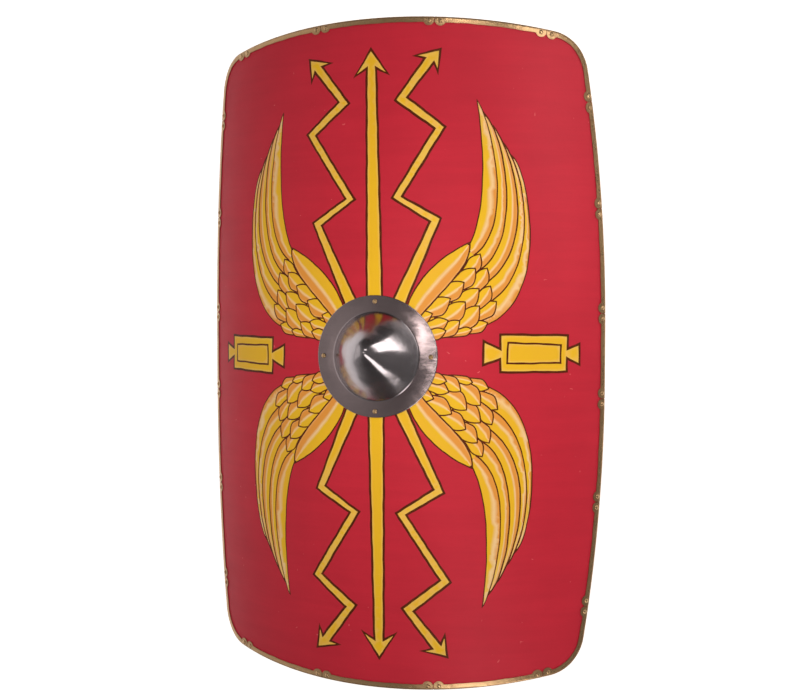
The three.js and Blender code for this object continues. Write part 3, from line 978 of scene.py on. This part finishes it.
def boss_profile():
    """Closed section (radius, height over the board, wear) from the crown out, under and back."""
    size = boss_sizes()
    lengths = (size.flange, size.dome, size.rise, size.steel)
    flange, dome, rise, steel = (value * 1000 for value in lengths)
    low = sizes().gap * 1000
    share = np.linspace(0, 1, 46) ** 1.4
    reach = dome - DOME_STOP
    outer = [reach * share, low + steel + cone_height(reach * share, dome, rise - steel)]
    foot = [np.array([dome - 0.3, dome + 0.5]), low + steel + np.array([0.2, 0.0])]
    flat = np.linspace(dome + 1.5, flange - RIM_ROUNDING, 12)
    top = [flat, low + steel - FLANGE_SAG * np.sin(np.pi * (flat - dome) / (flange - dome))]
    rim_angle = np.linspace(np.pi / 2, -np.pi / 2, 9)
    rim_reach = flange - RIM_ROUNDING + RIM_ROUNDING * np.cos(rim_angle)
    rim = [rim_reach, low + steel / 2 + steel / 2 * np.sin(rim_angle)]
    under = [np.array([dome + 8, dome]), np.array([low, low])]
    inside = (dome - steel) * share[::-2]
    inner = [inside, low + cone_height(inside, dome - steel, rise - steel)]
    parts = [outer, foot, top, rim, under, inner]
    worn = (0, 0.6, 1, 0.5, 1, 0.8)
    wear_and_shade = np.concatenate([np.full(len(part[0]), value) for part, value in zip(parts, worn)])
    section = np.concatenate([np.stack(part, -1) for part in parts])
    return section, wear_and_shade


class SCUTUM_OT_boss(bpy.types.Operator):
    """Build the raised steel boss with its flange bent to the board"""

    bl_idname = "scutum.boss"
    bl_label = "Steel boss"

    def execute(self, context):
        section, wear_and_shade = boss_profile()
        angle = np.linspace(0, 2 * np.pi, BOSS_SIDES, endpoint=False)
        radius, height = section[:, :1], section[:, 1:]
        size = boss_sizes()
        on_flange = np.clip((radius - size.dome * 1000) / ((size.flange - size.dome) * 1000), 0, 1)
        x = radius * np.cos(angle) * (1 + on_flange * size.stretch / size.flange)
        climbed = np.where(radius < size.dome * 1000, np.maximum(0, height) / (size.rise * 1000), 0)
        y = radius * np.sin(angle) + size.lean * 1000 * climbed
        fade = np.minimum(1, radius / ((size.dome - size.steel) * 1000)) ** 2
        z = height - fade * face_drop(x) + CROWN + self.beaten(x, y, radius)
        shells = Shells()
        shells.grid(np.stack([x, y, z], -1), wrap=True, wear_and_shade=wear_and_shade[:, None])
        piece = shells.build("raised_boss", steel_material(), 50)
        fit(piece, "boss")
        return {"FINISHED"}

    def beaten(self, x, y, radius):
        """Hammering: a soft off-centre peak, exp(-d / reach), and shallow waves, none at the foot."""
        dome = boss_sizes().dome * 1000
        inside = np.clip(1 - radius / dome, 0, 1)
        away = np.sqrt((x - PEAK_PLACE[0]) ** 2 + (y - PEAK_PLACE[1]) ** 2 + 6)
        peak = PEAK_HEIGHT * np.exp(-away / PEAK_REACH) - CROWN_SET_DOWN
        waves = 0.5 * np.sin(x / 9 + y / 14) + 0.35 * np.sin(y / 7 - x / 13 + 1)
        return (peak + waves) * np.minimum(1, 2.2 * inside)


# Rivet heads and tails as (radius, height), and the shank's radius.
BOSS_RIVET_HEAD = (3.8, 1.9)
BOSS_RIVET_TAIL = (4.4, 1.3)
BOSS_RIVET_SHANK = 2.0
EDGING_RIVET_HEAD = (3.6, 1.8)
EDGING_RIVET_TAIL = (3.0, 1.0)
SOLID_TAIL_RADIUS = 4.6


def rivet_surface(profile, centre, count=28):
    """A turned rivet about the board's own normal at centre, then bent into place."""
    profile = np.array(profile, float)
    angle = np.linspace(0, 2 * np.pi, count, endpoint=False)
    u = centre[0] + profile[:, :1] * np.cos(angle)
    v = centre[1] + profile[:, :1] * np.sin(angle)
    w = np.broadcast_to(profile[:, 1:2], u.shape)
    return bend(np.stack([u, v, w], -1))


def dome_rows(radius, height, base, steps=8):
    """Rows of a domed head from its crown to its edge."""
    angle = np.linspace(0, np.pi / 2, steps)
    return [(radius * np.sin(a), base + height * np.cos(a)) for a in angle]


class SCUTUM_OT_boss_rivets(bpy.types.Operator):
    """Build the four brass rivets that hold the boss"""

    bl_idname = "scutum.boss_rivets"
    bl_label = "Boss rivets"

    def execute(self, context):
        material = brass_material("rivet_brass", 0.1, 0.3)
        up, across = boss_sizes().rivets_up * 1000, boss_sizes().rivets_across * 1000
        board = -sizes().thickness * 1000
        gap = sizes().gap * 1000
        seat = gap + boss_sizes().steel * 1000 + gap
        places = {"top": (0, up), "bottom": (0, -up), "left": (-across, 0), "right": (across, 0)}
        for side, centre in places.items():
            node = f"boss_rivet_{side}"
            back = board - gap if centre[0] == 0 else self.back_of_grip(solid_box(node)[0])
            head = dome_rows(*BOSS_RIVET_HEAD, seat)
            tail = [(r, 2 * back - w) for r, w in reversed(dome_rows(*BOSS_RIVET_TAIL, back))]
            shank = [(BOSS_RIVET_HEAD[0] - 0.2, seat), (BOSS_RIVET_SHANK, seat)]
            shank += [(BOSS_RIVET_SHANK, back), (BOSS_RIVET_TAIL[0] - 0.2, back)]
            shells = Shells()
            profile = head + shank + tail
            profile[0] = (0, profile[0][1])
            profile[-1] = (0, profile[-1][1])
            shells.grid(rivet_surface(profile, centre), wrap=True)
            fit(shells.build(f"brass_{node}", material, 45), node)
        return {"FINISHED"}

    def back_of_grip(self, low):
        """Height w at which the long rivets' tails sit, from the lowest point of their solid."""
        radius = sizes().face_radius * 1000
        angle = boss_sizes().rivets_across * 1000 / radius
        axis = CROWN - radius
        edge = SOLID_TAIL_RADIUS * np.sin(angle)
        return (low[2] - axis + edge) / np.cos(angle) - radius + BOSS_RIVET_TAIL[1]


def grip_material():
    """Oiled wood: grain along the bar, darker and smoother where the hand holds it."""
    material, nodes, shader = new_material("grip_wood")
    grain = wood_grain(nodes, nodes.place(), (4.5, 95, 95))
    wood = metal().wood[:]
    wear_and_shade = nodes.wear_and_shade()
    body = nodes.mix(grain, darker(wood, 0.45), wood)
    held = nodes.mix(nodes.times(wear_and_shade, 0.55), body, darker(wood, 0.4))
    colour, rough = aged(nodes, held, srgb(60, 36, 20), 0.3, 0.2, 0.5, 0.14)
    polished = nodes.math("ADD", rough, nodes.times(wear_and_shade, -0.16), clamp=True)
    surface(nodes, shader, colour, polished, grain, 0.0004, 0.5)
    return material


GRIP = {
    "waist": 28.0, "pad": 42.0, "pad_length": 44.0, "shoulder": 22.0,
    "waist_rounding": 9.0, "pad_rounding": 3.0, "end_rounding": 2.0, "end_bevel": 1.2,
}


class SCUTUM_OT_grip(bpy.types.Operator):
    """Build the waisted wooden handgrip behind the board"""

    bl_idname = "scutum.grip"
    bl_label = "Handgrip"

    def execute(self, context):
        low, high = solid_box("grip")
        half_length = (high[0] - low[0]) / 2
        pad_start = half_length - GRIP["pad_length"]
        end = half_length - np.array([0, 0.3, 1.0, 2.0])
        x = np.concatenate([-end, np.linspace(-half_length + 6, half_length - 6, 88), end[::-1]])
        away = np.abs(x)
        blend = np.clip((away - pad_start + GRIP["shoulder"]) / GRIP["shoulder"], 0, 1)
        blend = blend**2 * (3 - 2 * blend)
        from_end = (half_length - away) / GRIP["end_rounding"]
        ease = np.sqrt(np.clip(1 - np.clip(1 - from_end, 0, 1) ** 2, 0, 1))
        bevel = GRIP["end_bevel"] * (1 - ease)
        half = (GRIP["waist"] + (GRIP["pad"] - GRIP["waist"]) * blend) / 2
        half -= GRIP["end_rounding"] * (1 - ease)
        seat = (sizes().face_radius - sizes().thickness - sizes().gap) * 1000
        axis = CROWN - sizes().face_radius * 1000
        top = np.sqrt(seat**2 - np.maximum(away, pad_start) ** 2) + axis - bevel
        bottom = low[2] + bevel
        rounding = GRIP["waist_rounding"] * (1 - blend) + GRIP["pad_rounding"] * blend
        rows = self.sections(x, half, bottom, top, np.minimum(rounding, (top - bottom) / 2.2))
        held = 1 - np.clip(away / pad_start, 0, 1) ** 2
        shells = Shells()
        shells.grid(rows, wrap=True, wear_and_shade=held[:, None])
        for row in (0, -1):
            middle = rows[row].mean(axis=0)
            ring = np.stack([rows[row], np.broadcast_to(middle, rows[row].shape)])
            shells.grid(ring, wrap=True, wear_and_shade=0.0)
        fit(shells.build("wooden_grip", grip_material(), 60), "grip")
        return {"FINISHED"}

    def sections(self, x, half, bottom, top, rounding):
        """Rounded rectangles across the bar: straight sides joined by quarter circles."""
        angle = np.concatenate([np.linspace(0, np.pi / 2, 7) + quarter * np.pi / 2 for quarter in range(4)])
        sign_y = np.repeat([1, -1, -1, 1], 7)
        sign_z = np.repeat([1, 1, -1, -1], 7)
        y = sign_y * (half - rounding)[:, None] + rounding[:, None] * np.cos(angle)
        middle, reach = (top + bottom) / 2, (top - bottom) / 2
        z = middle[:, None] + sign_z * (reach - rounding)[:, None] + rounding[:, None] * np.sin(angle)
        return np.stack([np.broadcast_to(x[:, None], y.shape), y, z], -1)


EDGING_NAMES = [
    "rim_right_4", "rim_right_5", "rim_corner_top_right", "rim_top_right", "rim_top_middle",
    "rim_top_left", "rim_corner_top_left", "rim_left_5", "rim_left_4", "rim_left_3",
    "rim_left_2", "rim_left_1", "rim_corner_bottom_left", "rim_bottom_left", "rim_bottom_middle",
    "rim_bottom_right", "rim_corner_bottom_right", "rim_right_1", "rim_right_2", "rim_right_3",
]
LOBE_RADIUS = 7.5
LOBE_HALF_LENGTH = 8.5
LOBE_INSET = 6.5
JOINT_GAP = 0.8
FOLD_RADIUS = 2.4
LIP_STEPS = 5
FOLD_STEPS = 6


def edging_section(lip, deep):
    """Outer and inner walls of the folded channel as (inwards, w), paired point by point."""
    brass = sizes().brass * 1000
    top = sizes().gap * 1000 + brass
    bottom = -sizes().thickness * 1000 - top
    turn = np.linspace(0, np.pi / 2, FOLD_STEPS)
    lips = np.linspace(1, 0, LIP_STEPS)[:, None]
    wide = np.ones(len(lip))
    rows = []
    for offset in (0.0, brass):
        radius = FOLD_RADIUS - offset
        fold_u = np.outer(FOLD_RADIUS - radius * np.sin(turn), wide)
        upper_w = np.outer(top - FOLD_RADIUS + radius * np.cos(turn), wide)
        lower_w = np.outer(bottom + FOLD_RADIUS - radius * np.cos(turn), wide)
        front = FOLD_RADIUS + lips * (lip - FOLD_RADIUS)
        back = FOLD_RADIUS + lips[::-1] * (deep - FOLD_RADIUS)
        flat = np.ones_like(front)
        inwards = np.concatenate([front, fold_u, fold_u[::-1], back])
        heights = [flat * (top - offset), upper_w, lower_w[::-1], flat * (bottom + offset)]
        rows.append(np.stack([inwards, np.concatenate(heights)], -1))
    return rows


def lobed_width(s, start, end, plain):
    """Lip width along a length: plain, with a round lobe over the rivet near either end."""
    width = np.full_like(s, plain)
    for centre in (start + LOBE_HALF_LENGTH, end - LOBE_HALF_LENGTH):
        away = np.clip(np.abs(s - centre) / LOBE_HALF_LENGTH, 0, 1)
        width = np.maximum(width, LOBE_INSET + LOBE_RADIUS * np.sqrt(1 - away**2))
    return width


def edging_stations(start, end):
    """Distances along a length, close together at the lobes."""
    reach = 2 * LOBE_HALF_LENGTH + 2
    lobe = np.linspace(0, reach, 34)
    middle = np.linspace(start + reach, end - reach, max(4, int((end - start) / 6)))
    return np.concatenate([start + lobe[:-1], middle, (end - lobe[:-1])[::-1]])


class SCUTUM_OT_edging(bpy.types.Operator):
    """Build the twenty folded brass lengths with their lobes and rivets"""

    bl_idname = "scutum.edging"
    bl_label = "Brass edging"

    def execute(self, context):
        outline = Outline()
        joints = outline.joints()
        ends = np.append(joints[1:], joints[0] + 4 * outline.quarter)
        material = brass_material("edging_brass", 0.5, 0.22)
        for name, start, end in zip(EDGING_NAMES, joints + JOINT_GAP / 2, ends - JOINT_GAP / 2):
            piece = self.length_of_edging(outline, start, end, name, material)
            fit(piece, name)
        return {"FINISHED"}

    def length_of_edging(self, outline, start, end, name, material):
        s = edging_stations(start, end)
        plain = sizes().lip * 1000
        uneven = 0.22 * np.sin(s / 9.3) + 0.16 * np.sin(s / 4.1 + 1)
        front = lobed_width(s, start, end, plain) + uneven
        back = lobed_width(s, start, end, plain) - uneven
        outer, inner = edging_section(front, back)
        section = np.concatenate([outer, inner[::-1]])
        count = len(section)
        flat = np.stack([outline.place(s, section[i, :, 0]) for i in range(count)])
        rows = np.concatenate([flat, section[..., 1:]], -1).swapaxes(0, 1)
        # Painted shade: the lip darkens towards its inner edge as a painted shadow line along the red, with
        # some tarnish, and the fold is darkened as painted shade on the outer bend.
        lip_tarnish_and_shade = np.linspace(0.4, 0.15, LIP_STEPS)
        wear_and_shade = np.concatenate([lip_tarnish_and_shade, np.full(2 * FOLD_STEPS, 0.55), lip_tarnish_and_shade[::-1]])
        wear_and_shade = np.concatenate([wear_and_shade, wear_and_shade[::-1]])
        shells = Shells()
        shells.grid(bend(rows), wrap=True, wear_and_shade=wear_and_shade)
        half = count // 2
        for end_row in (rows[0], rows[-1]):
            shells.grid(bend(np.stack([end_row[:half], end_row[half:][::-1]])), wear_and_shade=0.9)
        self.rivets(shells, outline, (start + LOBE_HALF_LENGTH, end - LOBE_HALF_LENGTH))
        return shells.build(f"brass_{name}", material, 42)

    def rivets(self, shells, outline, places):
        top = (sizes().gap + sizes().brass) * 1000
        bottom = -sizes().thickness * 1000 - top
        for s in places:
            centre = outline.place(np.array([s]), LOBE_INSET)[0]
            head = dome_rows(*EDGING_RIVET_HEAD, top)
            head += [(EDGING_RIVET_HEAD[0], top - 0.5), (0, top - 0.5)]
            tail = [(r, 2 * bottom - w) for r, w in dome_rows(*EDGING_RIVET_TAIL, bottom)]
            tail += [(EDGING_RIVET_TAIL[0], bottom + 0.5), (0, bottom + 0.5)]
            for profile in (head, tail):
                # Painted shade: each head and tail darkens towards its foot, a ring of shade where it meets
                # the brass.
                wear_and_shade = np.linspace(0, 0.75, len(profile))[:, None] ** 3
                shells.grid(rivet_surface(profile, centre, 20), wrap=True, wear_and_shade=wear_and_shade)


CAMERA = {
    "yaw": np.radians(17.79), "pitch": np.radians(2.41), "roll": np.radians(0.04),
    "distance": 1.832, "target": (0.0416, 0.0110), "focal_px": 1155.0, "frame_px": 800.0,
}
# Soft lamps aimed at the shield as (name, place, size, power, what they light).
SOFT_LIGHTS = [
    ("ceiling_window", (0.16, 0.05, 0.88), (0.5, 0.42), 3.9, "paint"),
    ("side_window", (1.42, 1.11, 0.8), (1.15, 1.0), 12.0, "paint"),
    ("end_window", (1.0, -1.6, 1.15), (0.5, 1.1), 5.2, "paint"),
    ("low_card", (0.655, 0.365, 0.37), (0.63, 0.2), 1.55, "metal"),
    ("tall_card", (0.8, -1.27, 1.27), (0.62, 1.9), 12.0, "metal"),
    ("left_card", (-1.5, 0.1, 0.75), (2.2, 1.3), 3.4, "metal"),
]
# Lamps under the ceiling, seen in the flange and in the top edging, as (name, place, size, power).
CEILING_LAMPS = [
    ("flange_lamp", (0.11, -0.008, 1.6), (0.3, 0.08), 0.5),
    ("edging_lamp", (0.62, 0.88, 1.6), (0.6, 0.2), 2.4),
]
LAMP_COLOUR = (1.0, 0.99, 0.97)
LAMP_AIM = (0.0, 0.0, 0.1)
# The walls' brightness from the left of the shield to its right, and from its middle to its ends.
ROOM_ACROSS = [(0.0, 0.56), (0.2, 0.5), (0.38, 0.26), (0.6, 0.18), (1.0, 0.2)]
ROOM_ALONG = [(0.3, 1.0), (1.0, 0.35)]
FLOOR_GLOW = [(0.4, 0.8), (0.75, 0.12)]
# Middle of the floor's painted pool of light, where it glows brightest, and the distance in metres that its
# stops share out.
POOL_MIDDLE = (-0.7, 0.0, 0.0)
POOL_REACH = 4.0
FLOOR_REACH = 9.0


def floor_material():
    """Pale floor that glows in a painted pool of light, widest on the shield's left, that fades out far
    beyond it.
    """
    material, nodes, shader = new_material("pale_floor")
    place = nodes.place()
    away = nodes.add("ShaderNodeVectorMath", {"operation": "DISTANCE"})
    nodes.give(away.inputs[0], place)
    away.inputs[1].default_value = POOL_MIDDLE
    speck = nodes.noise(place, 30, 3, 0.5)
    pale = nodes.ramp(speck, [(0.3, srgb(240, 240, 240)), (0.7, srgb(246, 246, 246))])
    nodes.give(shader["Base Color"], pale)
    shader["Roughness"].default_value = 0.9
    # Painted light: the floor itself glows, most near the pool's middle, fading with distance.
    shader["Emission Color"].default_value = (1, 1, 1, 1)
    share = nodes.times(away.outputs["Value"], 1 / POOL_REACH)
    nodes.give(shader["Emission Strength"], nodes.ramp(share, FLOOR_GLOW))
    return material


class SCUTUM_OT_stage(bpy.types.Operator):
    """Set up the floor, the soft lights and the camera"""

    bl_idname = "scutum.stage"
    bl_label = "Stage"

    def execute(self, context):
        self.floor()
        for name, place, size, power, lights in SOFT_LIGHTS:
            lamp = self.lamp(name, place, size, power)
            lamp.rotation_euler = (Vector(LAMP_AIM) - Vector(place)).to_track_quat("-Z", "Y").to_euler()
            lamp.visible_glossy = lights == "metal"
            lamp.visible_diffuse = lights == "paint"
        for name, place, size, power in CEILING_LAMPS:
            self.lamp(name, place, size, power).visible_diffuse = False
        self.room(context)
        context.scene.view_settings.view_transform = "Standard"
        self.camera(context)
        return {"FINISHED"}

    def floor(self):
        signs = [(-1, -1), (1, -1), (1, 1), (-1, 1)]
        corners = [(FLOOR_REACH * x, FLOOR_REACH * y, 0) for x, y in signs]
        mesh = bpy.data.meshes.new("floor")
        mesh.from_pydata(corners, [], [(0, 1, 2, 3)])
        mesh.materials.append(floor_material())
        link("floor", mesh)

    def lamp(self, name, place, size, power):
        data = bpy.data.lights.new(name, "AREA")
        data.shape = "RECTANGLE"
        data.size, data.size_y = size
        data.energy = power
        data.color = LAMP_COLOUR
        lamp = bpy.data.objects.new(name, data)
        lamp.location = place
        lamp.visible_camera = False
        bpy.context.scene.collection.objects.link(lamp)
        return lamp

    def room(self, context):
        """Plain walls, palest to the left of the shield and dimmer beyond its two ends."""
        world = bpy.data.worlds.new("studio")
        world.use_nodes = True
        nodes = Nodes(world.node_tree)
        direction = nodes.add("ShaderNodeTexCoord").outputs["Generated"]
        split = nodes.add("ShaderNodeSeparateXYZ", Vector=direction).outputs
        across = nodes.math("ADD", nodes.times(split["X"], 0.5), 0.5)
        along = nodes.ramp(nodes.math("ABSOLUTE", split["Y"]), ROOM_ALONG)
        background = next(node for node in world.node_tree.nodes if node.type == "BACKGROUND")
        walls = nodes.mix(1.0, nodes.ramp(across, ROOM_ACROSS), along, "MULTIPLY")
        nodes.give(background.inputs["Color"], walls)
        background.inputs["Strength"].default_value = 1.0
        context.scene.world = world

    def camera(self, context):
        """A camera that looks down on the lying shield from the same side as the photograph."""
        yaw, pitch, roll = CAMERA["yaw"], CAMERA["pitch"], CAMERA["roll"]
        back = Vector((np.sin(yaw) * np.cos(pitch), np.sin(pitch), np.cos(yaw) * np.cos(pitch)))
        right = Vector((np.cos(yaw), 0, -np.sin(yaw)))
        up = back.cross(right)
        right, up = right * np.cos(roll) + up * np.sin(roll), up * np.cos(roll) - right * np.sin(roll)
        data = bpy.data.cameras.new("camera")
        data.sensor_width = 36.0
        data.lens = CAMERA["focal_px"] / CAMERA["frame_px"] * data.sensor_width
        data.clip_end = 100
        camera = bpy.data.objects.new("camera", data)
        target = Vector((*CAMERA["target"], CROWN * MM))
        turn = Matrix((right, up, back)).transposed()
        camera.matrix_world = Matrix.Translation(target + back * CAMERA["distance"]) @ turn.to_4x4()
        context.scene.collection.objects.link(camera)
        context.scene.camera = camera


class SCUTUM_PT_panel(bpy.types.Panel):
    """Sizes, colours and pieces of the shield"""

    bl_idname = "SCUTUM_PT_panel"
    bl_label = "Shield"
    bl_space_type = "VIEW_3D"
    bl_region_type = "UI"
    bl_category = "Shield"

    def draw(self, context):
        for name in GROUPS:
            group = getattr(context.scene, name)
            box = self.layout.box()
            for key in group.bl_rna.properties.keys():
                if key not in ("name", "rna_type"):
                    box.prop(group, key)
        for operator in OPERATORS:
            self.layout.operator(operator.bl_idname)


GROUPS = {
    "shield_sizes": ShieldSizes,
    "boss_sizes": BossSizes,
    "paint_colours": PaintColours,
    "metal_colours": MetalColours,
}
OPERATORS = (
    SCUTUM_OT_board, SCUTUM_OT_boss, SCUTUM_OT_boss_rivets,
    SCUTUM_OT_grip, SCUTUM_OT_edging, SCUTUM_OT_stage,
)


def register():
    for group in GROUPS.values():
        bpy.utils.register_class(group)
    for operator in OPERATORS:
        bpy.utils.register_class(operator)
    bpy.utils.register_class(SCUTUM_PT_panel)
    for name, group in GROUPS.items():
        setattr(bpy.types.Scene, name, bpy.props.PointerProperty(type=group))


def unregister():
    for name in GROUPS:
        delattr(bpy.types.Scene, name)
    bpy.utils.unregister_class(SCUTUM_PT_panel)
    for operator in reversed(OPERATORS):
        bpy.utils.unregister_class(operator)
    for group in reversed(list(GROUPS.values())):
        bpy.utils.unregister_class(group)


def main():
    register()
    bpy.ops.scutum.board()
    bpy.ops.scutum.boss()
    bpy.ops.scutum.boss_rivets()
    bpy.ops.scutum.grip()
    bpy.ops.scutum.edging()
    bpy.ops.scutum.stage()


if __name__ == "__main__":
    main()
